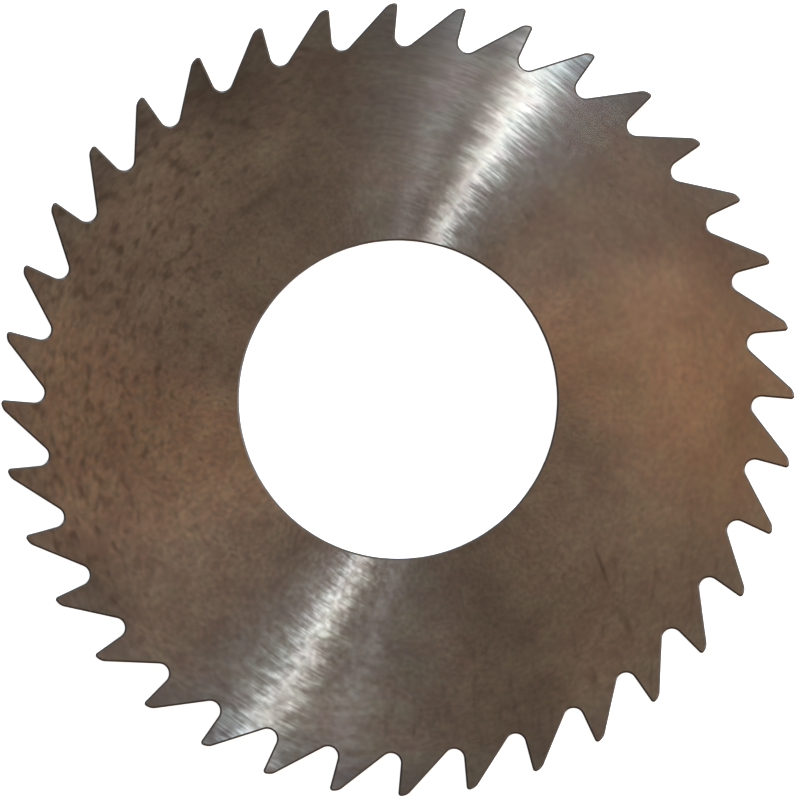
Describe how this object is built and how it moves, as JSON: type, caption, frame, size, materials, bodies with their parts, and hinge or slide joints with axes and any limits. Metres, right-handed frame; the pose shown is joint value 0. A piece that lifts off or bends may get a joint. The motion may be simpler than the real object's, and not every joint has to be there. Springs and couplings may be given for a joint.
{
  "type": "slitting saw",
  "caption": "Thin flat disc saw with hooked teeth round its rim, hollow-ground sides and a plain round arbor bore, for cutting narrow slots in metal on a milling arbor.",
  "frame": {"origin": "on the axis of the arbor bore, at the plane that the tooth tips rest on", "axes": "+Z along the bore axis, up from the resting plane; +Y through one tooth tip; the teeth cut clockwise seen from +Z"},
  "size_m": [0.0634, 0.0634, 0.0016],
  "materials": {
    "ground_tool_steel": "ground, with a brown oxide tint, small dark stains and a fine grinding lay"
  },
  "bodies": {
    "root": {"saw_blade": "ground_tool_steel"}
  },
  "joints": []
}
